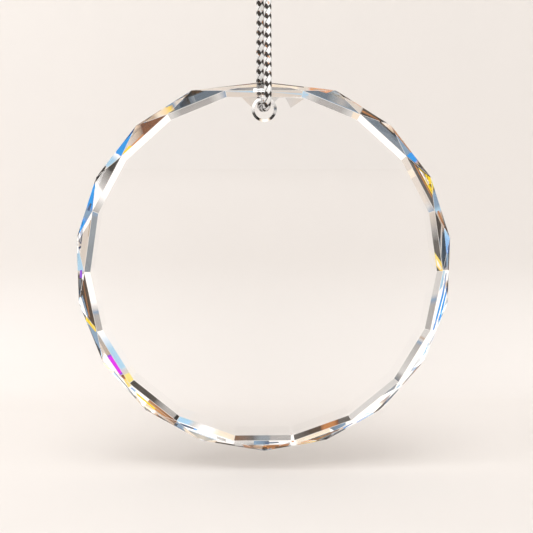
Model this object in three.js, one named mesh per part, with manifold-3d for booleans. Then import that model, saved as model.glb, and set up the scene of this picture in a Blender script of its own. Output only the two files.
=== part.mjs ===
// Faceted crystal disc ornament on a braided hanging cord.
// Millimetres, +Z up. The disc hangs upright in the XZ plane and its front face looks toward -Y.
// The origin is the inside of the cord's hanging loop, where a hook or twig carries the ornament.
import * as THREE from 'three';
import { mergeVertices } from 'three/addons/utils/BufferGeometryUtils.js';
import Module from 'manifold-3d';

// Crystal disc: a front table, a row of bevels round it, then a zigzag of triangles to the girdle
const facetCount = 18;
const girdleRadius = 40;
const bevelRadius = 37.8;
const tableRadius = 36.4;
const backTableRadius = 38.6;
const discThickness = 6;
const bevelDepth = 0.7;
const girdleDepth = 2.5;

// The top facet is cut wider and lower than the others, where the hole is
const topFacetAngle = 24.5;
const topGirdleRadius = 38.8;

// Hanging hole, drilled through the disc under its top facet
const holeRadius = 1.95;
const holeChamfer = 0.65;
const holeBelowRim = 5.7;
const holeSegments = 48;

// Hanging cord
const cordDiameter = 1.6;
const cordSides = 8;
const cordStep = 1.8;
const holeBelowHook = 61;

// Knot that gathers the two strands, the two sides of the loop and both cut ends
const knotBelowHook = 32;
const knotHeight = 6.6;
const knotRadius = 3;
const knotEndRadius = 2.5;
const knotSegments = 24;
const knotRows = 8;

// Air left where two pieces touch
const touchGap = 0.3;

// The cord's routes, millimetres from the origin, as [x, y, z]
const strandRoute = [
  [0.74, -0.45, -35.6],
  [0.74, -0.93, -38.5],
  [0.74, -1.72, -43.0],
  [0.74, -2.60, -48.0],
  [0.74, -3.45, -53.0],
  [0.74, -3.95, -56.0],
  [0.73, -4.10, -57.5],
  [0.68, -3.67, -59.1],
  [0.55, -2.50, -60.27],
  [0.26, -1.00, -60.68],
  [0.00, 0.00, -60.7],
  [-0.26, 1.00, -60.68],
  [-0.55, 2.50, -60.27],
  [-0.68, 3.67, -59.1],
  [-0.73, 4.10, -57.5],
  [-0.74, 3.95, -56.0],
  [-0.74, 3.45, -53.0],
  [-0.74, 2.60, -48.0],
  [-0.74, 1.72, -43.0],
  [-0.74, 0.93, -38.5],
  [-0.74, 0.45, -35.6],
];
const loopRoute = [
  [-1.00, 0.00, -28.4],
  [-1.20, 0.00, -25.6],
  [-2.00, 0.00, -20.4],
  [-3.05, 0.00, -14.4],
  [-3.85, 0.00, -8.6],
  [-4.00, 0.00, -4.4],
  [-3.35, 0.00, -1.3],
  [-1.85, 0.00, 0.3],
  [0.00, 0.00, 0.8],
  [1.85, 0.00, 0.3],
  [3.35, 0.00, -1.3],
  [4.00, 0.00, -4.4],
  [3.85, 0.00, -8.6],
  [3.05, 0.00, -14.4],
  [2.00, 0.00, -20.4],
  [1.20, 0.00, -25.6],
  [1.00, 0.00, -28.4],
];
const frontTailRoute = [
  [0.00, -1.65, -28.4],
  [0.05, -1.95, -26.8],
  [0.30, -2.60, -25.0],
  [0.60, -3.40, -23.6],
];
const backTailRoute = [
  [0.00, 1.65, -28.4],
  [-0.05, 1.95, -26.8],
  [-0.30, 2.60, -25.0],
  [-0.60, 3.40, -23.6],
];

const holeHeight = -holeBelowHook;
const discHeight = holeHeight - (topGirdleRadius - holeBelowRim);
const frontFace = -discThickness / 2;
const backFace = discThickness / 2;

const wasm = await Module();
wasm.setup();

// One closed solid from a geometry whose shared corners are merged
function toSolid(geometry) {
  const positionOnly = geometry.clone();
  positionOnly.deleteAttribute('normal');
  positionOnly.deleteAttribute('uv');
  const merged = mergeVertices(positionOnly);
  return new wasm.Manifold(new wasm.Mesh({
    numProp: 3,
    vertProperties: new Float32Array(merged.attributes.position.array),
    triVerts: new Uint32Array(merged.index.array),
  }));
}

function toGeometry(solid) {
  const mesh = solid.getMesh();
  const geometry = new THREE.BufferGeometry();
  geometry.setAttribute('position', new THREE.BufferAttribute(mesh.vertProperties, 3));
  geometry.setIndex(new THREE.BufferAttribute(mesh.triVerts, 1));
  geometry.computeVertexNormals();
  return geometry;
}

// Which way a corner looks from the disc's centre. Corner 0 is the left end of the wide top facet,
// and the rest follow it anticlockwise, seen from the front. Half steps are the middles of facets.
function cornerAngle(step) {
  const wide = THREE.MathUtils.degToRad(topFacetAngle);
  const narrow = (2 * Math.PI - wide) / (facetCount - 1);
  const pastLast = Math.max(0, step - (facetCount - 1));
  return Math.PI / 2 + wide / 2 + narrow * (step - pastLast) + wide * pastLast;
}

// One row of corners in a plane across the disc
function cornerRow(radius, depth) {
  return Array.from({ length: facetCount }, (_, index) => {
    const angle = cornerAngle(index);
    return [radius * Math.cos(angle), depth, radius * Math.sin(angle)];
  });
}

// The girdle's corners look halfway between the tables' corners, and the top one stands lower
function girdleRow() {
  return Array.from({ length: facetCount }, (_, index) => {
    const angle = cornerAngle(index + 0.5);
    const radius = index === facetCount - 1 ? topGirdleRadius : girdleRadius;
    return [radius * Math.cos(angle), frontFace + girdleDepth, radius * Math.sin(angle)];
  });
}

function blankGeometry() {
  const table = cornerRow(tableRadius, frontFace);
  const bevel = cornerRow(bevelRadius, frontFace + bevelDepth);
  const girdle = girdleRow();
  const backTable = cornerRow(backTableRadius, backFace);
  const corners = [];
  for (let index = 0; index < facetCount; index += 1) {
    const next = (index + 1) % facetCount;
    corners.push([0, frontFace, 0], table[index], table[next]);
    corners.push(table[index], bevel[index], bevel[next]);
    corners.push(table[index], bevel[next], table[next]);
    corners.push(bevel[index], girdle[index], bevel[next]);
    corners.push(bevel[next], girdle[index], girdle[next]);
    corners.push(backTable[index], backTable[next], girdle[index]);
    corners.push(backTable[next], girdle[next], girdle[index]);
    corners.push([0, backFace, 0], backTable[next], backTable[index]);
  }
  const geometry = new THREE.BufferGeometry();
  geometry.setAttribute('position', new THREE.Float32BufferAttribute(corners.flat(), 3));
  return geometry;
}

// The drill: the bore, opened by a chamfer at each face, running past both faces
function drillGeometry() {
  const past = 2;
  const wide = holeRadius + holeChamfer + past;
  const profile = [
    new THREE.Vector2(0, frontFace - past),
    new THREE.Vector2(wide, frontFace - past),
    new THREE.Vector2(holeRadius, frontFace + holeChamfer),
    new THREE.Vector2(holeRadius, backFace - holeChamfer),
    new THREE.Vector2(wide, backFace + past),
    new THREE.Vector2(0, backFace + past),
  ];
  return new THREE.LatheGeometry(profile, holeSegments);
}

function discGeometry() {
  const blank = toSolid(blankGeometry());
  const drill = toSolid(drillGeometry().translate(0, 0, topGirdleRadius - holeBelowRim));
  return toGeometry(blank.subtract(drill));
}

// A tube of the cord's own section along a route
function cordGeometry(route) {
  const path = new THREE.CatmullRomCurve3(route.map((point) => new THREE.Vector3(...point)));
  const radius = cordDiameter / 2;
  const section = new THREE.Shape(Array.from({ length: cordSides }, (_, index) => {
    const angle = (2 * Math.PI * index) / cordSides;
    return new THREE.Vector2(radius * Math.cos(angle), radius * Math.sin(angle));
  }));
  return new THREE.ExtrudeGeometry(section, {
    steps: Math.max(2, Math.round(path.getLength() / cordStep)),
    bevelEnabled: false,
    extrudePath: path,
  });
}

// The knot: a barrel with a flat at each end, where the cord goes in
function knotGeometry() {
  const half = knotHeight / 2 - touchGap / 2;
  const profile = [new THREE.Vector2(0, -half)];
  for (let row = 0; row <= knotRows; row += 1) {
    const turn = (row / knotRows) * Math.PI;
    const bulge = (knotRadius - knotEndRadius) * Math.sin(turn);
    profile.push(new THREE.Vector2(knotEndRadius + bulge, -half * Math.cos(turn)));
  }
  profile.push(new THREE.Vector2(0, half));
  return new THREE.LatheGeometry(profile, knotSegments).rotateX(Math.PI / 2);
}

const crystal = () => new THREE.MeshStandardMaterial({
  color: 0xf4f6f8, roughness: 0.02, metalness: 0, transparent: true, opacity: 0.35,
});
const silverBraid = () => new THREE.MeshStandardMaterial({
  color: 0xb9b5ae, roughness: 0.35, metalness: 0.9,
});

function piece(name, geometry, material) {
  const mesh = new THREE.Mesh(geometry, material);
  mesh.name = name;
  return mesh;
}

const disc = piece('crystal_disc', discGeometry(), crystal());
disc.position.z = discHeight;

const knot = piece('cord_knot', knotGeometry(), silverBraid());
knot.position.z = -knotBelowHook;

const group = new THREE.Group();
group.name = 'crystal_christmas_ornament';
group.add(
  disc,
  piece('cord_strands', cordGeometry(strandRoute), silverBraid()),
  knot,
  piece('cord_loop', cordGeometry(loopRoute), silverBraid()),
  piece('cord_front_tail', cordGeometry(frontTailRoute), silverBraid()),
  piece('cord_back_tail', cordGeometry(backTailRoute), silverBraid()),
);

export default group;
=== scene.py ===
"""A cut crystal disc hanging on a knotted loop of braided silver cord, dressed and lit.

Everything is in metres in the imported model's own frame: +Z is up, the disc hangs in the XZ plane with its
front face toward -Y, and the origin is the inside of the cord's hanging loop.
"""

import logging
import math
from dataclasses import dataclass, field
from enum import Enum

import bmesh
import bpy
import numpy as np
from mathutils import Euler, Matrix, Vector


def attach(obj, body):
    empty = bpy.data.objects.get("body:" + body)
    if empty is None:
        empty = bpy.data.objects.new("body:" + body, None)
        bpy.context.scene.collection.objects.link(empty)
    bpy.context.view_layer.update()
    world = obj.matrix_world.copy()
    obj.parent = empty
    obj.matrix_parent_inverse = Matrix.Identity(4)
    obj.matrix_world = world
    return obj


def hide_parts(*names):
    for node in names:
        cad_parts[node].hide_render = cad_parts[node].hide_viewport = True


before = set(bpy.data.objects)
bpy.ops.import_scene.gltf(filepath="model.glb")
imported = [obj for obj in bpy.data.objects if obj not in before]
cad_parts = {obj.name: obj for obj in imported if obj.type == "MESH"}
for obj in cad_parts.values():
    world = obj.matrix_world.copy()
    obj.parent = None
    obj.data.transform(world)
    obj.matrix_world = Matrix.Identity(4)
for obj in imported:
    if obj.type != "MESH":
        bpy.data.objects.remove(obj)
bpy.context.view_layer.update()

LOG = logging.getLogger("ornament")
MM = 0.001
BODY = "root"
FACETS = 18
CURVE_FINENESS = 4
CUT_TOLERANCE = 1e-8
FIRE_LAYER = "painted_fire"
CROWN_LAYER = "crown"
TONE_LAYER = "tone"
ZONE_LAYER = "zone"

Place = tuple[float, float, float]
Colour = tuple[float, float, float]


class Slot(Enum):
    """The record's material slots."""

    CRYSTAL = "clear_crystal"
    CORD = "silver_cord"


class PaintedFire(Enum):
    """Painted light on the cut facets: colours that stand in for what they refract and mirror and for their
    flashes of dispersion, as the linear red, green and blue that come through, and a spark, a painted
    highlight that glows.
    """

    CLEAR = (1.00, 1.00, 1.00, 0.00)
    # BLAZE and GLINT: painted highlights, white that glows by its spark
    BLAZE = (1.00, 1.00, 1.00, 0.32)
    GLINT = (1.00, 1.00, 1.00, 0.90)
    PEARL = (0.78, 0.79, 0.80, 0.00)
    CREAM = (1.00, 0.90, 0.76, 0.08)
    SHELL = (0.84, 0.78, 0.72, 0.00)
    ASH = (0.50, 0.50, 0.50, 0.00)
    STONE = (0.17, 0.16, 0.15, 0.00)
    PEWTER = (0.32, 0.37, 0.42, 0.00)
    SLATE = (0.17, 0.22, 0.28, 0.00)
    DUSK = (0.05, 0.08, 0.12, 0.00)
    SMOKE = (0.08, 0.07, 0.06, 0.00)
    SOOT = (0.015, 0.010, 0.008, 0.00)
    UMBER = (0.09, 0.06, 0.04, 0.00)
    BRONZE = (0.22, 0.07, 0.01, 0.00)
    SIENNA = (0.27, 0.15, 0.08, 0.00)
    OCHRE = (0.58, 0.25, 0.08, 0.00)
    TAN = (0.62, 0.48, 0.36, 0.00)
    AMBER = (0.78, 0.30, 0.04, 0.06)
    HONEY = (0.95, 0.56, 0.20, 0.35)
    GOLD = (1.00, 0.74, 0.01, 0.18)
    LEMON = (1.00, 0.86, 0.28, 0.10)
    SKY = (0.46, 0.74, 0.97, 0.08)
    MIST = (0.26, 0.42, 0.62, 0.00)
    STEEL = (0.07, 0.14, 0.30, 0.00)
    AZURE = (0.01, 0.37, 0.93, 0.14)
    VIOLET = (0.32, 0.06, 0.82, 0.12)
    MAGENTA = (0.78, 0.01, 0.90, 0.16)

    def light(self) -> Vector:
        """Returns the glass's base colour, whose square root one surface lets through, and the spark, its
        painted glow.
        """
        return Vector([share * share for share in self.value[:3]] + [self.value[3]])


class Zone(Enum):
    """The rows of facets, from the front table to the back one, and the hole's front lip."""

    TABLE = 1
    BEVEL = 2
    UPPER = 3
    GIRDLE = 4
    BACK_GIRDLE = 5
    BACK_UPPER = 6
    BACK = 7
    LIP = 8


class Aim(Enum):
    """What a studio card or light looks at."""

    DISC = (0.0, 0.0, -94.1 * MM)
    BACKDROP = (-0.09, 0.097, -0.02)

    def turned(self, place: Place, axis: str) -> Euler:
        """Returns the turn that points one axis of an object from its place at the aim."""
        return (Vector(self.value) - Vector(place)).to_track_quat(axis, "Y").to_euler()


# One letter for each colour, for the tables below
W, P, E, H, A, J = PaintedFire.BLAZE, PaintedFire.PEARL, PaintedFire.CREAM, PaintedFire.SHELL, PaintedFire.ASH, PaintedFire.STONE
F, S, D, K, N, U = PaintedFire.PEWTER, PaintedFire.SLATE, PaintedFire.DUSK, PaintedFire.SMOKE, PaintedFire.SOOT, PaintedFire.UMBER
B, C, Q, T = PaintedFire.BRONZE, PaintedFire.SIENNA, PaintedFire.OCHRE, PaintedFire.TAN
O, I, G, L = PaintedFire.AMBER, PaintedFire.HONEY, PaintedFire.GOLD, PaintedFire.LEMON
Y, M, X, Z, V, R = PaintedFire.SKY, PaintedFire.MIST, PaintedFire.STEEL, PaintedFire.AZURE, PaintedFire.VIOLET, PaintedFire.MAGENTA


@dataclass(frozen=True)
class Throw:
    """The painted light on one facet: its colours, which stand in for what it throws, along its length from
    its clockwise end.

    Colours run smoothly from one stop to the next, and two stops at one place make a crisp edge.

    Attributes:
        stops: pairs of a place, from 0 to 1 along the facet, and the colour there.
        slant: how far the edges between the colours lean, as a share of length for each share of width.
    """

    stops: tuple[tuple[float, PaintedFire], ...]
    slant: float = 0.0

    def places(self) -> list[float]:
        """Returns the places inside the facet where its colour breaks."""
        return sorted({place for place, _ in self.stops if 0.0 < place < 1.0})

    def colour(self, place: float, middle: float) -> Vector:
        """Returns the base colour at a place.

        Args:
            place: where the corner lies along the facet.
            middle: where the middle of its face lies, which settles the side of a crisp edge.

        Returns:
            The base colour and the spark.
        """
        low, high = self.stops[0], self.stops[-1]
        for first, second in zip(self.stops, self.stops[1:]):
            if first[0] <= middle <= second[0] and second[0] > first[0]:
                low, high = first, second
        span = max(high[0] - low[0], 1e-6)
        share = min(1.0, max(0.0, (place - low[0]) / span))
        return low[1].light().lerp(high[1].light(), share)


def throw(*stops: float | PaintedFire, slant: float = 0.0) -> Throw:
    """Builds a Throw from places and colours by turns.

    Args:
        *stops: place, colour, place, colour and so on.
        slant: the lean of the edges between the colours.

    Returns:
        The facet's colours.
    """
    return Throw(tuple(zip(stops[0::2], stops[1::2])), slant)


@dataclass(frozen=True)
class Shard:
    """One patch of painted light with straight edges across the ring of facets, standing in for what they
    refract and mirror.

    Attributes:
        near: the colour at its clockwise end.
        far: the colour at its anticlockwise end.
        outline: its corners, each a place round the ring, in facets, and a height across it: -1 at the
            table's edge, 0 at the outer edge of the bevels and 1 at the girdle.
    """

    near: PaintedFire
    far: PaintedFire
    outline: tuple[tuple[float, float], ...]

    def colour(self, place: float) -> Vector:
        """Returns the base colour and the spark at a place round the ring."""
        places = [corner[0] for corner in self.outline]
        low, high = min(places), max(places)
        turn = FACETS * round(((low + high) / 2 - place) / FACETS)
        share = min(1.0, max(0.0, (place + turn - low) / (high - low)))
        return self.near.light().lerp(self.far.light(), share)


def shard(near: PaintedFire, far: PaintedFire, *numbers: float) -> Shard:
    """Builds a Shard from its two colours and from places and heights by turns."""
    return Shard(near, far, tuple(zip(numbers[0::2], numbers[1::2])))


def band(near: PaintedFire, far: PaintedFire, start: float, low: float, high: float, end: float, far_high: float,
         far_low: float) -> Shard:
    """Builds a Shard whose two ends run straight across the ring.

    Args:
        near: the colour at its clockwise end.
        far: the colour at its anticlockwise end.
        start: the place of the clockwise end.
        low: the height of that end's inner corner.
        high: the height of its outer corner.
        end: the place of the other end.
        far_high: the height of that end's outer corner.
        far_low: the height of its inner corner.

    Returns:
        The patch.
    """
    return shard(near, far, start, low, start, high, end, far_high, end, far_low)


# Each row's facets' painted light, anticlockwise from the wide top facet's left end
BEVEL_FIRE = (
    throw(0, M, 0.12, P, 0.28, A, 0.8, A, 0.95, P, 1, P),
    throw(0, W),
    throw(0, W, 0.7, W, 0.85, P, 1, A),
    throw(0, M, 0.08, F, 1, F),
    throw(0, W, 0.5, W, 0.62, P, 0.68, M, 0.74, A, 1, A),
    throw(0, W, 0.35, Y, 0.72, Y, 0.78, P, 0.84, H, 0.86, L, 1, L),
    throw(0, K, 0.5, K, 0.75, A, 0.94, A, 0.95, N, 1, N),
    throw(0, Y, 0.2, Y, 0.3, P, 0.48, W, 0.6, W, 0.75, E, 1, E, slant=0.3),
    throw(0, C, 0.3, J, 0.44, F, 0.58, F, 0.62, A, 0.95, A, 0.97, W, 1, W),
    throw(0, J, 0.3, U, 0.48, U, 0.56, Q, 0.72, Q, 0.8, B, 0.82, J, 1, J, slant=0.15),
    throw(0, P),
    throw(0, S, 0.1, A, 0.15, P, 0.7, A, 0.76, M, 0.8, P, 0.84, T, 0.88, P, 1, P),
    throw(0, A, 0.4, A, 0.5, M, 0.6, P, 1, P, slant=-0.3),
    throw(0, J, 0.2, J, 0.5, J, 0.7, A, 1, H),
    throw(0, M, 0.1, P, 0.2, H, 0.64, H, 0.66, E, 0.78, E, 0.8, H, 1, H),
    throw(0, W),
    throw(0, E, 0.1, E, 0.12, P, 0.3, A, 0.7, A, 0.88, P, 1, Y),
    throw(0, H),
)

UPPER_FIRE = (
    throw(0, S),
    throw(0, B, 0.5, B, 0.6, T, 0.85, H, 1, H, slant=0.35),
    throw(0, N, 0.3, K, 0.48, A, 0.62, P, 0.66, W, 1, W, slant=0.35),
    throw(0, H),
    throw(0, U),
    throw(0, H),
    throw(0, W, 0.42, W, 0.44, T, 1, T),
    throw(0, W),
    throw(0, P, 0.3, P, 0.8, W, 1, W),
    throw(0, E, 0.6, E, 0.62, W, 1, W),
    throw(0, W),
    throw(0, W),
    throw(0, W),
    throw(0, S, 0.6, S, 0.75, T, 1, T),
    throw(0, J),
    throw(0, S),
    throw(0, S, 0.22, F, 0.35, A, 0.5, F, 0.6, S, 1, S),
    throw(0, A),
)

GIRDLE_FIRE = (
    throw(0, H),
    throw(0, H, 0.3, H, 0.35, M, 0.46, M, 0.47, G, 0.5, E, 0.62, E, 0.7, T, 1, T),
    throw(0, M, 0.1, Z, 0.5, Z, 0.52, W, 0.62, Y, 0.75, Y, 0.8, H, 1, H),
    throw(0, Z, 0.45, Z, 0.52, M, 0.62, M, 0.7, Z, 0.88, Z, 1, U),
    throw(0, W, 0.2, Y, 0.48, Y, 0.5, H, 0.56, U, 1, J),
    throw(0, U, 0.3, U, 0.36, M, 0.75, M, 0.8, U, 1, U),
    throw(0, W, 0.7, W, 0.72, E, 1, E),
    throw(0, T, 0.5, T, 0.52, M, 0.76, M, 0.78, T, 1, E),
    throw(0, T, 0.2, W, 0.5, W, 0.52, P, 1, P),
    throw(0, P, 0.42, P, 0.44, W, 0.5, W, 0.56, E, 1, E),
    throw(0, E, 0.3, P, 0.42, W, 1, W),
    throw(0, W),
    throw(0, W),
    throw(0, W, 0.3, T, 0.36, W, 0.5, W, 0.52, A, 0.6, M, 0.76, M, 0.78, Z, 1, Z),
    throw(0, Y, 0.12, B, 0.42, T, 0.48, Y, 0.55, M, 0.75, M, 0.8, U, 1, G),
    throw(0, J, 0.25, U, 0.3, T, 0.34, Z, 0.49, Z, 0.5, M, 0.8, M, 0.84, H, 1, W),
    throw(0, N, 0.5, U, 0.52, H, 1, H),
    throw(0, O, 0.35, O, 0.4, H, 0.5, H, 0.55, E, 1, E),
)

FRONT_FIRE = {Zone.BEVEL: BEVEL_FIRE, Zone.UPPER: UPPER_FIRE, Zone.GIRDLE: GIRDLE_FIRE}

# Smaller patches of painted light and shade, laid over the rows one after another
SHARDS = (
    shard(U, U, -0.12, 0.88, -0.12, 1.1, 0.38, 1.1, 0.38, 1.0, 0.1, 0.94),
    band(F, S, 0.50, 0.0, 0.85, 0.57, 0.80, 0.0),
    band(K, D, 0.59, 0.1, 0.74, 0.76, 0.46, 0.1),
    band(Y, Y, 0.55, 0.93, 1.1, 0.82, 1.1, 0.93),
    band(T, G, 0.86, 0.15, 0.80, 0.92, 0.80, 0.15),
    shard(G, E, 0.92, 0.12, 0.92, 0.85, 1.14, 0.85, 1.04, 0.12),
    band(Q, T, 1.05, 0.92, 1.1, 1.42, 1.1, 0.95),
    band(Q, O, 1.50, -0.02, 0.15, 1.80, 0.12, -0.02),
    shard(G, G, 1.76, -0.02, 1.79, 0.26, 1.97, 0.18, 1.97, -0.02),
    shard(Z, Z, 1.90, 0.25, 1.90, 0.90, 2.03, 0.90, 1.98, 0.10),
    band(N, N, 2.28, 0.84, 1.1, 2.62, 1.1, 0.96),
    band(X, X, 2.90, 0.48, 0.72, 3.02, 0.78, 0.42),
    band(N, N, 3.33, 0.92, 1.1, 3.52, 1.1, 0.95),
    band(W, W, 3.54, 0.82, 1.1, 3.72, 1.1, 0.84),
    shard(W, W, 2.99, 0.0, 3.50, 1.02, 3.54, 0.90, 3.14, 0.0),
    shard(T, T, 3.14, -0.02, 3.16, 0.14, 3.42, 0.10, 3.42, -0.02),
    shard(V, V, 3.97, 0.32, 3.98, 0.62, 4.10, 0.74, 4.10, 0.42),
    shard(W, W, 4.02, 0.0, 4.04, 0.32, 4.12, 0.48, 4.14, 0.3),
    band(S, K, 4.12, 0.56, 0.84, 4.34, 0.94, 0.76),
    shard(W, W, 4.40, 0.82, 4.48, 1.02, 4.60, 1.02, 4.76, 0.70, 4.42, 0.74),
    shard(M, M, 4.37, 0.62, 4.40, 0.74, 4.72, 0.66, 4.72, 0.52),
    band(B, Q, 4.12, 0.34, 0.44, 4.74, 0.50, 0.40),
    shard(G, G, 4.72, 0.84, 4.80, 0.94, 5.00, 0.22, 4.96, 0.06, 4.90, 0.14),
    band(U, B, 4.86, 0.90, 1.1, 5.45, 1.1, 0.92),
    shard(A, T, 5.05, 0.0, 5.12, 0.40, 5.44, 0.40, 5.46, 0.0),
    shard(W, W, 5.36, 0.52, 5.48, 1.0, 5.60, 1.0, 5.80, 0.44, 5.40, 0.44),
    band(V, V, 5.43, 0.03, 0.40, 5.81, 0.40, 0.03),
    band(R, R, 5.46, 0.03, 0.40, 5.78, 0.40, 0.03),
    band(B, Q, 5.82, -0.02, 0.36, 5.91, 0.36, -0.02),
    band(G, L, 5.90, -0.02, 0.36, 6.05, 0.62, -0.02),
    band(X, D, 5.70, 0.72, 0.84, 6.02, 0.74, 0.60),
    band(D, X, 6.0, 0.60, 0.74, 6.26, 0.98, 0.88),
    band(Z, Y, 6.08, 0.18, 0.44, 6.17, 0.44, 0.18),
    band(Q, B, 6.43, -0.02, 0.22, 7.0, 0.34, 0.02),
    shard(G, G, 6.18, 0.34, 6.24, 0.52, 6.60, 0.50, 6.60, 0.32),
    band(O, U, 6.60, 0.30, 0.42, 7.0, 0.60, 0.42),
    band(H, T, 6.58, 0.56, 1.1, 7.0, 1.1, 0.64),
    band(D, D, 7.0, 0.44, 0.90, 7.05, 0.90, 0.44),
    shard(E, E, 7.14, 0.60, 7.24, 1.1, 7.74, 1.1, 7.74, 0.66),
    shard(X, D, 7.06, 0.10, 7.10, 0.38, 7.30, 0.28, 7.32, 0.10),
    shard(Z, Y, 7.31, 0.10, 7.31, 0.30, 7.36, 0.30, 7.38, 0.10),
    shard(P, A, 7.70, 0.15, 7.72, 0.42, 7.88, 0.52, 7.86, 0.15),
    band(U, K, 7.72, 0.78, 1.1, 8.03, 1.1, 0.72),
    band(U, B, 8.05, 0.88, 1.1, 8.30, 1.1, 0.90),
    band(P, A, 8.06, 0.26, 0.44, 8.36, 0.50, 0.24),
    shard(Q, T, 8.14, 0.56, 8.20, 0.92, 8.48, 0.92, 8.48, 0.50),
    shard(Q, Q, 8.48, 0.50, 8.48, 1.1, 8.86, 1.1, 8.92, 0.50),
    band(F, M, 8.38, 0.90, 1.1, 8.62, 1.1, 0.90),
    band(M, S, 8.33, 0.02, 0.46, 8.58, 0.40, 0.02),
    band(X, S, 8.52, 0.18, 0.34, 8.74, 0.30, 0.16),
    band(W, W, 8.93, 0.30, 0.84, 9.01, 0.84, 0.30),
    band(O, Q, 8.95, 0.05, 0.32, 8.99, 0.32, 0.05),
    band(O, G, 9.04, 0.86, 1.1, 9.40, 1.1, 0.90),
    band(U, D, 9.42, 0.88, 1.1, 9.84, 1.1, 0.80),
    band(O, I, 9.10, 0.66, 0.76, 9.34, 0.70, 0.58),
    band(I, O, 9.34, 0.68, 0.82, 9.82, 0.62, 0.50),
    shard(S, M, 9.61, 0.0, 9.67, 0.48, 9.87, 0.44, 9.90, 0.0),
    band(Z, X, 9.82, 0.62, 0.80, 9.99, 0.72, 0.58),
    band(Z, Y, 10.05, 0.84, 1.1, 10.36, 1.1, 0.86),
    band(U, S, 10.36, 0.88, 1.1, 10.90, 1.1, 0.82),
    shard(F, F, 10.61, -0.02, 10.88, 0.42, 10.97, 0.0),
    band(Y, Y, 10.90, 0.46, 0.64, 10.98, 0.64, 0.46),
    band(T, S, 11.0, 0.82, 1.1, 11.20, 1.1, 0.84),
    band(O, Q, 11.20, 0.88, 1.1, 11.50, 1.1, 0.94),
    shard(Y, Y, 11.56, 0.66, 11.60, 0.78, 11.80, 0.72, 11.80, 0.62),
    band(A, S, 12.12, 0.80, 0.90, 12.34, 1.02, 0.92),
    shard(Z, Z, 12.15, 0.74, 12.22, 0.92, 12.72, 0.92, 12.76, 0.80),
    band(Z, Z, 12.02, 0.38, 0.60, 12.60, 0.56, 0.38),
    band(Z, M, 12.60, 0.38, 0.56, 12.96, 0.66, 0.50),
    shard(Y, Y, 12.66, 0.05, 12.74, 0.30, 13.0, 0.34, 13.0, 0.05),
    band(U, U, 13.0, 0.84, 1.1, 13.30, 1.1, 0.88),
    shard(Z, Y, 13.22, 0.66, 13.30, 0.80, 13.46, 1.1, 13.56, 1.1, 13.68, 0.70),
    shard(D, D, 13.02, 0.08, 13.06, 0.62, 13.60, 0.62, 13.64, 0.44, 13.24, 0.14),
    shard(P, H, 13.24, 0.04, 13.62, 0.44, 13.76, 0.58, 13.76, 0.48, 13.34, 0.04),
    shard(K, K, 13.50, 0.08, 13.74, 0.50, 14.0, 0.08, 14.0, -0.02, 13.60, -0.02),
    shard(B, Q, 13.64, 0.80, 13.64, 0.90, 13.97, 0.62, 13.97, 0.36, 13.76, 0.60),
    shard(G, L, 12.99, 0.02, 13.13, 0.02, 13.34, -1.02, 13.10, -1.02, 13.01, -0.50),
    shard(E, W, 13.01, -0.30, 13.05, -0.14, 13.22, -0.80, 13.10, -0.80),
    shard(G, G, 14.20, 0.46, 14.40, 1.1, 14.54, 1.1, 14.78, 0.48, 14.50, 0.40),
    shard(E, W, 14.40, 0.52, 14.44, 0.72, 14.62, 0.66, 14.70, 0.50),
    shard(O, O, 14.20, 0.40, 14.23, 0.47, 14.82, 0.44, 14.84, 0.37),
    shard(N, N, 14.47, 1.02, 14.58, 1.02, 15.01, 0.06, 14.96, -0.02),
    shard(Z, Z, 14.84, 0.62, 14.84, 0.95, 14.98, 0.95, 15.0, 0.20, 14.90, 0.38),
    band(Q, Q, 14.98, 0.86, 1.1, 15.55, 1.1, 0.92),
    shard(E, W, 15.38, 0.76, 15.50, 1.02, 15.58, 1.02, 15.66, 0.76),
    shard(N, N, 15.54, 1.02, 15.62, 1.02, 16.01, 0.16, 16.01, -0.02, 15.95, 0.02),
    band(B, Q, 15.68, 0.74, 0.88, 16.0, 0.64, 0.40),
    band(O, Q, 16.04, 0.92, 1.1, 16.45, 1.1, 0.95),
    band(M, M, 16.05, -0.02, 0.12, 16.92, 0.12, -0.02),
    shard(O, T, 16.52, 1.02, 16.88, 0.80, 16.62, 0.62),
    band(U, U, 16.95, 0.80, 1.1, 17.44, 1.1, 0.86),
    band(U, B, 17.58, 0.84, 1.1, 17.88, 1.1, 0.86),
    band(E, E, 17.06, 0.44, 0.80, 17.46, 0.84, 0.46),
    band(E, H, 17.60, 0.46, 0.82, 17.90, 0.80, 0.44),
    band(A, S, 17.62, 0.0, 0.42, 17.94, 0.34, 0.0),
    band(Y, P, 16.90, -0.42, -0.16, 17.42, -0.10, -0.26),
    band(Y, P, 17.62, -0.30, -0.06, 18.0, -0.06, -0.24),
    # A painted glint: a white highlight that glows across the top bevel, over the strand behind the disc
    band(PaintedFire.GLINT, PaintedFire.GLINT, 17.47, -0.20, 0.26, 17.64, 0.26, -0.20),
    shard(P, H, 17.30, -1.05, 17.80, -1.05, 17.74, -1.8, 17.55, -3.8),
    shard(H, P, 16.95, -1.05, 17.22, -1.05, 17.12, -2.6),
)

# The painted light and shade on the hole's front lip, anticlockwise from its right
LIP_FIRE = throw(
    0, S, 0.02, N, 0.06, P, 0.22, W, 0.45, W, 0.52, P, 0.55, K, 0.58, N, 0.68, N, 0.70, E,
    0.74, W, 0.80, W, 0.82, E, 0.84, N, 0.92, N, 0.96, P, 1, S,
)


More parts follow.
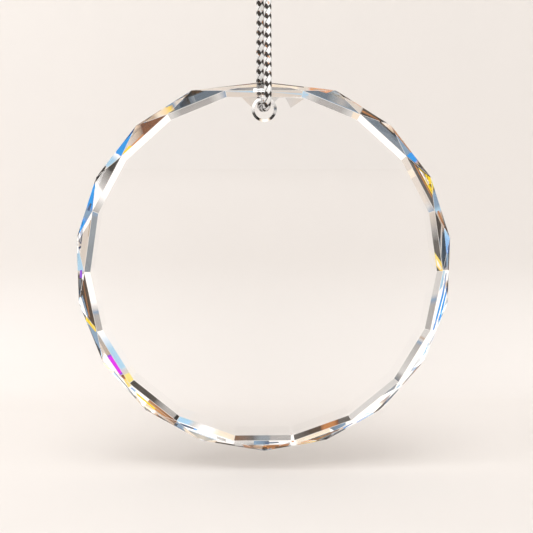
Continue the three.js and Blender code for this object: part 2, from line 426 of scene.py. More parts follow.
@dataclass(frozen=True)
class Facet:
    """One flat face of the cut.

    Attributes:
        zone: the row that it belongs to.
        index: its place in the row, anticlockwise from the wide top facet's left end.
        corners: its corners.
    """

    zone: Zone
    index: int
    corners: tuple[Vector, ...]

    def normal(self) -> Vector:
        """Returns the facet's own direction, away from the middle of the disc."""
        first, second, third = self.corners[:3]
        return (second - first).cross(third - first).normalized()

    def base(self) -> tuple[Vector, Vector, Vector]:
        """Returns the two ends of the edge that its painted colours run along, and a corner off that edge."""
        picks = {Zone.GIRDLE: (1, 2, 0), Zone.UPPER: (0, 2, 1), Zone.BEVEL: (0, 3, 1)}[self.zone]
        return self.corners[picks[0]], self.corners[picks[1]], self.corners[picks[2]]


def linked(name: str, data: bpy.types.ID) -> bpy.types.Object:
    """Makes an object of its data, links it to the scene and returns it."""
    made = bpy.data.objects.new(name, data)
    bpy.context.scene.collection.objects.link(made)
    return made


def sheet_of(name: str, points: list[Vector], faces: list[tuple[int, ...]]) -> bpy.types.Object:
    """Makes a mesh object and links it to the scene.

    Args:
        name: the object's name.
        points: its points.
        faces: its faces, as numbers of points.

    Returns:
        The new object.
    """
    mesh = bpy.data.meshes.new(name)
    mesh.from_pydata(points, [], faces)
    return linked(name, mesh)


def tube_faces(base: int, rows: int, count: int) -> list[tuple[int, ...]]:
    """Lists the faces of a closed tube: its walls, row by row, and then its two ends.

    Args:
        base: the number of the tube's first point.
        rows: how many rings of points it has.
        count: how many points a ring has.

    Returns:
        The faces, as numbers of points.
    """
    last = base + (rows - 1) * count
    faces = []
    for low in range(base, last, count):
        for here in range(count):
            there = (here + 1) % count
            faces.append((low + here, low + there, low + count + there, low + count + here))
    faces.append(tuple(reversed(range(base, base + count))))
    faces.append(tuple(range(last, last + count)))
    return faces


def report(piece: bpy.types.Object) -> None:
    """Logs a finished piece with its number of triangles."""
    triangles = sum(len(face.vertices) - 2 for face in piece.data.polygons)
    LOG.info("%s: %d triangles", piece.name, triangles)


class Board:
    """One tree of shader nodes, with short ways to add nodes and to join them."""

    def __init__(self, tree: bpy.types.NodeTree) -> None:
        """Takes the tree that the nodes go into."""
        self.tree = tree

    def feed(self, node: bpy.types.Node, inputs: dict[str | int, object]) -> None:
        """Sets a node's inputs, named or numbered, each to a value or to another node's output."""
        for key, value in inputs.items():
            if isinstance(value, bpy.types.NodeSocket):
                self.tree.links.new(value, node.inputs[key])
            else:
                node.inputs[key].default_value = value

    def add(self, kind: str, inputs: dict[str | int, object] | None = None,
            **settings: object) -> bpy.types.Node:
        """Adds a node.

        Args:
            kind: the node's type.
            inputs: what its inputs get, as in feed.
            **settings: its own properties, which are set first.

        Returns:
            The node.
        """
        node = self.tree.nodes.new(kind)
        for name, value in settings.items():
            setattr(node, name, value)
        self.feed(node, inputs or {})
        return node

    def mixed(self, share: bpy.types.NodeSocket, low: object, high: object) -> bpy.types.NodeSocket:
        """Adds a mix of two colours and returns its output."""
        return self.add("ShaderNodeMix", {0: share, 6: low, 7: high}, data_type="RGBA").outputs[2]

    def calculate(self, operation: str, *values: object) -> bpy.types.NodeSocket:
        """Adds one step of arithmetic and returns its output."""
        return self.add("ShaderNodeMath", dict(enumerate(values)), operation=operation).outputs[0]


def new_material(name: str) -> tuple[bpy.types.Material, Board, bpy.types.Node]:
    """Makes a material with a plain shader.

    Args:
        name: the material's name.

    Returns:
        The material, the board of its nodes and its shader.
    """
    made = bpy.data.materials.new(name)
    made.use_nodes = True
    return made, Board(made.node_tree), made.node_tree.nodes["Principled BSDF"]


@dataclass(frozen=True)
class CrystalGlass:
    """Clear cut crystal: see-through glass with painted light, each facet tinted and made to glow by the
    painted colours of the light it throws.
    """

    name: str = "clear_crystal"
    ior: float = 1.52

    def material(self) -> bpy.types.Material:
        """Returns the glass, with the facets' painted colours let through and a little of them glowing as
        painted highlights.
        """
        made, board, shader = new_material(self.name)
        painted_fire = board.add("ShaderNodeVertexColor", layer_name=FIRE_LAYER)
        colour, share = painted_fire.outputs["Color"], painted_fire.outputs["Alpha"]
        # The painted glow: each colour scaled by its spark and sent out as emission
        spark = board.add("ShaderNodeVectorMath", {0: colour, "Scale": share}, operation="SCALE")
        board.feed(shader, {
            "Base Color": colour, "Roughness": 0.0, "IOR": self.ior, "Transmission Weight": 1.0,
            "Emission Color": spark.outputs[0], "Emission Strength": 1.0,
        })
        return made


@dataclass(frozen=True)
class YarnFibres:
    """The twisted fibres of a yarn, as one node group that every cord finish shares.

    Attributes:
        name: the group's name.
        twist: how many fibres pass by in one yarn width along the yarn.
        bright_crown: how far up a yarn, from 0 where it dives to 1 on its crown, it is fully bright; below
            that painted shade darkens it.
        groove: how much darker the grooves between the fibres are, as painted shade.
        fleck_scale: how fine the warm flecks, painted reflections, are.
        fleck_from: the noise at which a fleck begins to show.
        fleck_full: the noise at which it shows most.
        fleck_share: how much of it shows there.
    """

    name: str = "yarn_fibres"
    twist: float = 2.0
    bright_crown: float = 0.30
    groove: float = 0.16
    fleck_scale: float = 1400.0
    fleck_from: float = 0.62
    fleck_full: float = 0.72
    fleck_share: float = 0.8

    def group(self) -> bpy.types.NodeTree:
        """Returns the group, made on the first call.

        It reads the yarn's own map, across the yarn and along it, and gives the height of the fibres, how
        bright the yarn is there under its painted shade and a mask of the few warm flecks of painted
        reflection.
        """
        if self.name in bpy.data.node_groups:
            return bpy.data.node_groups[self.name]
        group = bpy.data.node_groups.new(self.name, "ShaderNodeTree")
        for label, way in (("Fibres", "INPUT"), ("Crown", "INPUT"), ("Height", "OUTPUT"),
                           ("Brightness", "OUTPUT"), ("Warm Fleck", "OUTPUT")):
            group.interface.new_socket(label, in_out=way, socket_type="NodeSocketFloat")
        board = Board(group)
        source, sink = board.add("NodeGroupInput"), board.add("NodeGroupOutput")
        across = board.add("ShaderNodeUVMap").outputs["UV"]
        parts = board.add("ShaderNodeSeparateXYZ", {"Vector": across})
        turns = board.calculate("MULTIPLY", parts.outputs["X"], source.outputs["Fibres"])
        twist = board.calculate("MULTIPLY", parts.outputs["Y"], self.twist)
        phase = board.calculate("MULTIPLY", board.calculate("ADD", turns, twist), math.tau)
        wave = board.calculate("MULTIPLY_ADD", board.calculate("SINE", phase), 0.5, 0.5)
        # Painted shade: dark where the yarn dives, bright on its crown
        crown = board.add("ShaderNodeMapRange", {"Value": source.outputs["Crown"], "From Min": 0.0,
                                                 "From Max": self.bright_crown},
                          interpolation_type="SMOOTHSTEP").outputs["Result"]
        # Painted shade in the grooves between the fibres
        lit = board.calculate("MULTIPLY_ADD", wave, self.groove, 1 - self.groove)
        # Warm flecks at random: painted reflections of warm light
        place = board.add("ShaderNodeTexCoord").outputs["Object"]
        noise = board.add("ShaderNodeTexNoise", {"Scale": self.fleck_scale, "Vector": place})
        fleck = board.add("ShaderNodeMapRange", {"Value": noise.outputs["Fac"], "From Min": self.fleck_from,
                                                 "From Max": self.fleck_full, "To Max": self.fleck_share})
        board.feed(sink, {"Height": wave, "Brightness": board.calculate("MULTIPLY", crown, lit),
                          "Warm Fleck": fleck.outputs["Result"]})
        return group


@dataclass(frozen=True)
class SilverYarn:
    """Metallised yarns of the braid: silver ones one way and gunmetal ones the other, with painted shade
    where they dive.

    Attributes:
        name: the material's name.
        silver: the silver yarn's colour on its crown.
        gunmetal: the dark yarn's colour on its crown.
        shade: the colour of the painted shade on both where they dive.
        warm: the colour of the few warm flecks, painted reflections of warm light.
        metallic: how much of a yarn is metal.
        roughness: on the crowns.
        dive_roughness: where they dive.
        fibres: how many fibres lie across a yarn.
        bump: the strength of the fibres' bump.
        relief: its height, in metres.
    """

    name: str = "silver_yarn"
    silver: Colour = (0.97, 0.965, 0.96)
    gunmetal: Colour = (0.030, 0.022, 0.018)
    shade: Colour = (0.012, 0.009, 0.007)
    warm: Colour = (0.62, 0.27, 0.09)
    metallic: float = 0.3
    roughness: float = 0.34
    dive_roughness: float = 0.59
    fibres: float = 7.0
    bump: float = 0.6
    relief: float = 0.03 * MM

    def material(self) -> bpy.types.Material:
        """Returns the yarns' metal, with their fibres as bump and their tones from the braid: silver and
        gunmetal, and painted shade where they dive.
        """
        made, board, shader = new_material(self.name)
        crown = board.add("ShaderNodeAttribute", attribute_name=CROWN_LAYER).outputs["Fac"]
        kind = board.add("ShaderNodeAttribute", attribute_name=TONE_LAYER).outputs["Fac"]
        thread = board.add("ShaderNodeGroup", {"Fibres": self.fibres, "Crown": crown},
                           node_tree=YarnFibres().group())
        bright = thread.outputs["Brightness"]
        yarn = board.mixed(kind, (*self.gunmetal, 1), (*self.silver, 1))
        # Painted shade: the yarn's colour darkened where it dives and between its fibres
        toned = board.mixed(bright, (*self.shade, 1), yarn)
        rough = board.add("ShaderNodeMapRange", {"Value": bright, "To Min": self.dive_roughness,
                                                 "To Max": self.roughness})
        bump = board.add("ShaderNodeBump", {"Strength": self.bump, "Distance": self.relief,
                                            "Height": thread.outputs["Height"]})
        board.feed(shader, {
            # The warm flecks mixed in are painted reflections
            "Base Color": board.mixed(thread.outputs["Warm Fleck"], toned, (*self.warm, 1)),
            "Metallic": self.metallic, "Roughness": rough.outputs["Result"], "Normal": bump.outputs["Normal"],
        })
        return made


@dataclass(frozen=True)
class CordCore:
    """The dark polyester core of the braid, with painted shade in the grooves between its fibres."""

    name: str = "cord_core"
    colour: Colour = (0.05, 0.038, 0.030)
    groove: Colour = (0.025, 0.019, 0.015)
    roughness: float = 0.8
    fibres: float = 16.0

    def material(self) -> bpy.types.Material:
        """Returns the core's matt finish, with its own fibres."""
        made, board, shader = new_material(self.name)
        thread = board.add("ShaderNodeGroup", {"Fibres": self.fibres, "Crown": 1.0},
                           node_tree=YarnFibres().group())
        # Painted shade in the grooves between the fibres
        tone = board.mixed(thread.outputs["Brightness"], (*self.groove, 1), (*self.colour, 1))
        board.feed(shader, {"Base Color": tone, "Roughness": self.roughness})
        return made


@dataclass(frozen=True)
class StudioPaper:
    """Pale seamless paper. It is see-through from its back, so that it never stands before the camera."""

    name: str = "pale_paper"
    colour: Colour = (0.78, 0.745, 0.715)
    gloss: float = 0.1

    def material(self) -> bpy.types.Material:
        """Returns the paper, matt in front and clear from behind."""
        made, board, shader = new_material(self.name)
        board.feed(shader, {"Base Color": (*self.colour, 1), "Roughness": 1.0,
                            "Specular IOR Level": self.gloss})
        side = board.add("ShaderNodeNewGeometry").outputs["Backfacing"]
        clear = board.add("ShaderNodeBsdfTransparent").outputs[0]
        mix = board.add("ShaderNodeMixShader", {0: side, 1: shader.outputs[0], 2: clear})
        board.feed(made.node_tree.nodes["Material Output"], {"Surface": mix.outputs[0]})
        return made


@dataclass(frozen=True)
class Portrait:
    """The camera: near the disc, a little above its middle and a little to its left.

    Attributes:
        distance: from the camera to the plane through the disc's centre.
        down: how far the camera looks down, in degrees.
        turn: how far it looks to the right, in degrees.
        focal_length: for a sensor as wide as sensor_width, both in millimetres.
        sideways: how far the disc's centre stands left of the middle of the picture, in metres.
        upwards: how far it stands below the middle, in metres.
    """

    distance: float = 250 * MM
    down: float = 6.58
    turn: float = 1.36
    focal_length: float = 79.46
    sensor_width: float = 36.0
    sideways: float = 0.55 * MM
    upwards: float = 0.02 * MM

    def build(self, target: Vector) -> bpy.types.Object:
        """Puts the camera in the scene.

        Args:
            target: the disc's centre.

        Returns:
            The camera.
        """
        data = bpy.data.cameras.new("portrait_camera")
        data.lens = self.focal_length
        data.sensor_width = self.sensor_width
        data.clip_start = MM
        camera = linked("portrait_camera", data)
        turn = Matrix.Rotation(-math.radians(self.turn), 3, "Z")
        turn = turn @ Matrix.Rotation(-math.radians(self.down), 3, "X")
        right, ahead, up = turn.col[0], turn.col[1], turn.col[2]
        place = Matrix((right, up, -ahead)).transposed().to_4x4()
        place.translation = target - self.distance * ahead + self.sideways * right + self.upwards * up
        camera.matrix_world = place
        bpy.context.scene.camera = camera
        return camera


def lengths_along(path: np.ndarray) -> np.ndarray:
    """Returns how far along a path each of its points lies."""
    return np.concatenate([[0.0], np.cumsum(np.linalg.norm(np.diff(path, axis=0), axis=1))])


def smooth_path(points: np.ndarray, step: float) -> np.ndarray:
    """Runs one smooth curve through points and spaces it evenly.

    Args:
        points: the points that the curve passes.
        step: the distance between the new points.

    Returns:
        The new points, one row each.
    """
    gaps = np.linalg.norm(np.diff(points, axis=0), axis=1)
    knots = lengths_along(points)
    slopes = np.gradient(points, knots, axis=0)
    dense = np.linspace(0.0, knots[-1], int(knots[-1] / step) * CURVE_FINENESS)
    piece = np.clip(np.searchsorted(knots, dense, side="right") - 1, 0, len(gaps) - 1)
    width = gaps[piece][:, None]
    share = ((dense - knots[piece]) / gaps[piece])[:, None]
    low, high = points[piece], points[piece + 1]
    rise, fall = slopes[piece] * width, slopes[piece + 1] * width
    curve = (2 * share**3 - 3 * share**2 + 1) * low + (share**3 - 2 * share**2 + share) * rise
    curve = curve + (3 * share**2 - 2 * share**3) * high + (share**3 - share**2) * fall
    along = lengths_along(curve)
    even = np.linspace(0.0, along[-1], max(2, round(along[-1] / step) + 1))
    return np.stack([np.interp(even, along, curve[:, axis]) for axis in range(3)], axis=1)


def unit(rows: np.ndarray) -> np.ndarray:
    """Returns each row at length one."""
    return rows / np.maximum(np.linalg.norm(rows, axis=-1, keepdims=True), 1e-12)


def carried_frames(path: np.ndarray) -> tuple[np.ndarray, np.ndarray]:
    """Carries a pair of directions along a path without twist.

    Args:
        path: the points of the path.

    Returns:
        Two unit directions across the path at each point, square to each other.
    """
    ahead = unit(np.gradient(path, axis=0))
    start = np.cross(ahead[0], [0.0, 1.0, 0.0])
    first = [start / np.linalg.norm(start)]
    for direction in ahead[1:]:
        side = first[-1] - direction * np.dot(first[-1], direction)
        first.append(side / np.linalg.norm(side))
    across = np.array(first)
    return across, np.cross(ahead, across)


@dataclass(frozen=True)
class Braid:
    """How the cord is braided: flat yarns that wind both ways round a core, over and under by turns.

    Attributes:
        diameter: of the whole cord.
        yarns: how many yarns, half of them each way.
        lead: how far along the cord one yarn goes in a full turn.
        yarn_width: across one silver yarn.
        dark_width: across one gunmetal yarn.
        yarn_thickness: through one yarn.
        sway: how far a yarn moves in and out as it goes over and under.
        squareness: the power that widens a yarn's section, 1 for an ellipse and less for a boxier one.
        furrows: how many furrows run along a yarn.
        ripple: how deep they are, as a share of its thickness.
        edge_shade: how much darker a yarn's edges are than its middle, as painted shade.
        edge_power: how close to its edges a yarn stays bright.
        section_points: points round a yarn's section.
        step: between two sections.
        tip: the length at a cut end over which the braid is melted to a point.
        tip_share: the square of how full the very tip is.
    """

    diameter: float = 1.6 * MM
    yarns: int = 8
    lead: float = 8.05 * MM
    yarn_width: float = 0.90 * MM
    dark_width: float = 0.74 * MM
    yarn_thickness: float = 0.26 * MM
    sway: float = 0.075 * MM
    squareness: float = 0.8
    furrows: int = 3
    ripple: float = 0.10
    edge_shade: float = 0.85
    edge_power: int = 4
    section_points: int = 12
    step: float = 0.25 * MM
    tip: float = 0.9 * MM
    tip_share: float = 0.004

    def section_turns(self) -> np.ndarray:
        """Returns which way each point of a section looks, in radians."""
        return math.tau * np.arange(self.section_points) / self.section_points

    def fullness(self, path: np.ndarray, melted: tuple[bool, bool]) -> np.ndarray:
        """Returns how full the braid is at each point: 1, and down to almost 0 at a melted tip."""
        along = lengths_along(path)
        full = np.ones(len(path))
        for is_melted, far in zip(melted, (along, along[-1] - along)):
            if is_melted:
                share = np.clip(far / self.tip, 0.0, 1.0)
                full = np.minimum(full, np.sqrt(np.clip(1 - (1 - share) ** 2, self.tip_share, 1.0)))
        return full

    def yarn_points(self, centre: np.ndarray, out: np.ndarray, full: np.ndarray, width: float) -> np.ndarray:
        """Lays one yarn.

        Args:
            centre: the middle of the yarn.
            out: the direction from the cord's middle to it, at each point.
            full: how full the braid is at each point.
            width: across the yarn.

        Returns:
            Its points, section by section.
        """
        ahead = unit(np.gradient(centre, axis=0))
        side = unit(np.cross(ahead, out))
        rise = np.cross(side, ahead)
        lean = np.cos(self.section_turns())
        wide = np.sign(lean) * np.abs(lean) ** self.squareness * width / 2
        thick = np.sin(self.section_turns()) * self.yarn_thickness / 2
        thick = thick * (1 + self.ripple * np.cos(self.furrows * math.pi * lean))
        section = side[:, None, :] * wide[None, :, None] + rise[:, None, :] * thick[None, :, None]
        return (centre[:, None, :] + section * full[:, None, None]).reshape(-1, 3)

    def build(self, name: str, path: np.ndarray, melted: tuple[bool, bool],
              twist: np.ndarray | float = 0.0) -> bpy.types.Object:
        """Braids a length of cord.

        Args:
            name: the piece's name.
            path: the middle of the cord.
            melted: whether each end is a cut end, melted to a point.
            twist: how far the whole braid is turned at each point, in radians.

        Returns:
            The braided piece, with its map, its crown, which carries the painted shade, and its tone.
        """
        along, full = lengths_along(path), self.fullness(path, melted)
        across, beside = carried_frames(path)
        middle = (self.diameter - self.yarn_thickness) / 2 - self.sway
        # Painted shade: each yarn darker towards its edges
        lit = 1 - self.edge_shade * np.abs(np.cos(self.section_turns())) ** self.edge_power
        in_yarn = len(path) * self.section_points
        points, faces, crowns, tones = [], [], [], []
        for yarn in range(self.yarns):
            way = 1 if yarn % 2 == 0 else -1
            start = math.tau * (yarn // 2) / (self.yarns // 2)
            lift = way * np.cos(self.yarns * math.pi * along / self.lead)
            angle = start + way * math.tau * along / self.lead + twist
            out = np.cos(angle)[:, None] * across + np.sin(angle)[:, None] * beside
            centre = path + out * ((middle + self.sway * lift) * full)[:, None]
            width = self.yarn_width if way > 0 else self.dark_width
            points.append(self.yarn_points(centre, out, full, width))
            faces.extend(tube_faces(yarn * in_yarn, len(path), self.section_points))
            # The crown layer carries painted shade: dark where the yarn dives, and at its edges
            crowns.append(((lift * 0.5 + 0.5)[:, None] * lit[None, :]).reshape(-1))
            tones.append(np.full(in_yarn, 1.0 if way > 0 else 0.0))
        piece = sheet_of(name, np.concatenate(points).tolist(), faces)
        piece.data.shade_smooth()
        layer = piece.data.uv_layers.new(name="yarn_map")
        layer.data.foreach_set("uv", np.tile(self.yarn_map(along), self.yarns))
        for label, values in ((CROWN_LAYER, crowns), (TONE_LAYER, tones)):
            layer = piece.data.attributes.new(label, "FLOAT", "POINT")
            layer.data.foreach_set("value", np.concatenate(values).astype(np.float32))
        return piece

    def yarn_map(self, along: np.ndarray) -> np.ndarray:
        """Maps one yarn: across it, and along it in yarn widths.

        Args:
            along: how far along the cord each section lies.

        Returns:
            The map of every corner of its walls, four to a face, and of its two ends, which lie at zero.
        """
        rows, count = len(along) - 1, self.section_points
        walls = np.empty((rows, count, 4, 2))
        walls[..., 0] = (np.arange(count)[None, :, None] + np.array([0, 1, 1, 0])) / count
        walls[..., 1] = along[np.arange(rows)[:, None, None] + np.array([0, 0, 1, 1])] / self.yarn_width
        return np.concatenate([walls.reshape(-1), np.zeros(2 * 2 * count)]).astype(np.float32)

    def core(self, name: str, path: np.ndarray, melted: tuple[bool, bool]) -> bpy.types.Object:
        """Makes the core that shows dark between the yarns.

        Args:
            name: the piece's name.
            path: the middle of the cord.
            melted: whether each end is a cut end, melted to a point.

        Returns:
            The core.
        """
        across, beside = carried_frames(path)
        turn = self.section_turns()
        radius = (self.diameter / 2 - self.yarn_thickness - 2 * self.sway) * self.fullness(path, melted)
        ring = np.cos(turn)[None, :, None] * across[:, None, :]
        ring = ring + np.sin(turn)[None, :, None] * beside[:, None, :]
        points = (path[:, None, :] + ring * radius[:, None, None]).reshape(-1, 3)
        piece = sheet_of(name, points.tolist(), tube_faces(0, len(path), self.section_points))
        piece.data.shade_smooth()
        return piece


@dataclass
class HangingCord:
    """The cord: a tail, the knot, down in front, through the hole, up behind, the knot and the loop.

    Attributes:
        tail_mm: the front tail, from its tip to the knot.
        strand_mm: from the knot down in front of the disc to the middle of the hole.
        loop_mm: the left half of the loop, from the knot to its top.
        in_knot_mm: where the cord passes inside the knot, in front and behind.
        knot_end_mm: where it ends in the knot.
        melted: whether each end is a cut end, melted to a point.
        seen: which point of strand_mm is in the middle of the seen stretch.
        steady: which point of it the braid stays unturned down to.
        leaving: which point of it the cord comes free of the disc at; not used.
        front_turn: how the front strand's braid is turned to the front, in degrees.
        back_turn: the same for the back strand.
    """

    braid: Braid = field(default_factory=Braid)
    finish: SilverYarn = field(default_factory=SilverYarn)
    core_finish: CordCore = field(default_factory=CordCore)
    tail_mm: tuple[Place, ...] = (
        (0.60, -3.40, -23.6), (0.30, -2.60, -25.0), (0.05, -1.95, -26.8), (0.00, -1.65, -28.4),
    )
    strand_mm: tuple[Place, ...] = (
        (0.74, -0.45, -35.6), (0.74, -0.93, -38.5), (0.74, -1.72, -43.0), (0.74, -2.60, -48.0),
        (0.74, -3.45, -53.0), (0.74, -3.95, -56.0), (0.73, -4.10, -57.5), (0.68, -3.67, -59.1),
        (0.55, -2.50, -60.27), (0.26, -1.00, -60.68), (0.00, 0.00, -60.7),
    )
    loop_mm: tuple[Place, ...] = (
        (-1.00, 0.00, -28.4), (-1.20, 0.00, -25.6), (-2.00, 0.00, -20.4), (-3.05, 0.00, -14.4),
        (-3.85, 0.00, -8.6), (-4.00, 0.00, -4.4), (-3.35, 0.00, -1.3), (-1.85, 0.00, 0.3), (0.00, 0.00, 0.8),
    )
    in_knot_mm: tuple[Place, ...] = ((0.45, -0.90, -32.0), (-0.90, 0.25, -32.0))
    knot_end_mm: Place = (1.00, 0.00, -30.4)
    melted: tuple[bool, bool] = (True, False)
    seen: int = 3
    steady: int = 5
    leaving: int = 4
    front_turn: float = 22.5
    back_turn: float = 67.5

    def path(self) -> np.ndarray:
        """Returns the middle of the cord from the front tail's tip to where the loop enters the knot."""
        down = list(self.strand_mm)
        up = [(-x, -y, z) for x, y, z in reversed(down[:-1])]
        left = list(self.loop_mm)
        right = [(-x, y, z) for x, y, z in reversed(left[:-1])]
        route = [*self.tail_mm, self.in_knot_mm[0], *down, *up, self.in_knot_mm[1], *left, *right,
                 self.knot_end_mm]
        return smooth_path(np.array(route) * MM, self.braid.step)

    def twist(self, path: np.ndarray) -> np.ndarray:
        """Returns how far the braid is turned at each point, to show both strands' dark side on the left."""
        across, beside = carried_frames(path)
        along = lengths_along(path)
        x, y, z = self.strand_mm[self.seen]
        stations, turns = [], []
        for sign, shown in ((1, self.front_turn), (-1, self.back_turn)):
            middle = int(np.argmin(np.linalg.norm(path - np.array([sign * x, sign * y, z]) * MM, axis=1)))
            facing = math.degrees(math.atan2(-beside[middle, 1], -across[middle, 1]))
            stations.append(along[middle])
            turns.append(facing - shown)
        repeat = 360 // (self.braid.yarns // 2)
        turns[1] = turns[0] + (turns[1] - turns[0] + repeat / 2) % repeat - repeat / 2
        reach = (z - self.strand_mm[self.steady][2]) * MM
        share = (along - stations[0] - reach) / (stations[1] - stations[0] - 2 * reach)
        share = np.clip(share, 0, 1)
        return np.radians(turns[0] + (turns[1] - turns[0]) * (3 * share**2 - 2 * share**3))

    def build(self) -> list[bpy.types.Object]:
        """Braids the cord round its core and lets it stand for its solids."""
        path = self.path()
        cord = self.braid.build("hanging_cord", path, self.melted, self.twist(path))
        core = self.braid.core("cord_core", path, self.melted)
        cord.data.materials.append(self.finish.material())
        core.data.materials.append(self.core_finish.material())
        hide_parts("cord_strands", "cord_loop", "cord_front_tail")
        for piece in (cord, core):
            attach(piece, BODY)
        return [cord, core]


@dataclass
class GatheringKnot:
    """The knot: the cord's last length wound three times round the others, its end left as the back tail.

    Attributes:
        middle: the height of the knot's middle.
        half_height: from there to the middle of its top and bottom wraps.
        waist: from the knot's middle to the cord's middle, at its widest.
        end_waist: the same at its top and bottom.
        turns: how many times the cord is wound round.
        turn_points: the route's points in one turn.
        first_turn: where the first wrap starts, in degrees.
        entry_mm: where the cord comes from, at the loop's right side.
        tuck_mm: where it goes in under the last wrap.
        tail_mm: the back tail, from the knot to its tip.
    """

    braid: Braid = field(default_factory=Braid)
    finish: SilverYarn = field(default_factory=SilverYarn)
    middle: float = -32.0 * MM
    half_height: float = 2.35 * MM
    waist: float = 2.2 * MM
    end_waist: float = 1.95 * MM
    turns: float = 3.25
    turn_points: int = 12
    first_turn: float = 40.0
    entry_mm: tuple[Place, ...] = ((1.00, 0.0, -30.2), (1.5, 0.4, -29.8))
    tuck_mm: Place = (-0.9, 0.9, -33.2)
    tail_mm: tuple[Place, ...] = (
        (0.00, 1.30, -31.0), (0.00, 1.65, -28.4), (-0.05, 1.95, -26.8), (-0.30, 2.60, -25.0),
        (-0.60, 3.40, -23.6),
    )

    def path(self) -> np.ndarray:
        """Returns the middle of the wraps, from the loop's right side to the back tail's tip."""
        wraps = []
        steps = round(self.turns * self.turn_points)
        for index in range(steps + 1):
            share = index / steps
            angle = math.radians(self.first_turn) + math.tau * self.turns * share
            radius = self.end_waist + (self.waist - self.end_waist) * math.sin(math.pi * share)
            height = self.middle + self.half_height * (1 - 2 * share)
            wraps.append((radius * math.cos(angle), radius * math.sin(angle), height))
        ends = [np.array(route) * MM for route in (self.entry_mm, (self.tuck_mm, *self.tail_mm))]
        return smooth_path(np.concatenate([ends[0], np.array(wraps), ends[1]]), self.braid.step)

    def build(self) -> bpy.types.Object:
        """Braids the wraps and the back tail, and lets them stand for their solids."""
        knot = self.braid.build("cord_knot_wraps", self.path(), (False, True))
        knot.data.materials.append(self.finish.material())
        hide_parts("cord_knot", "cord_back_tail")
        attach(knot, BODY)
        return knot


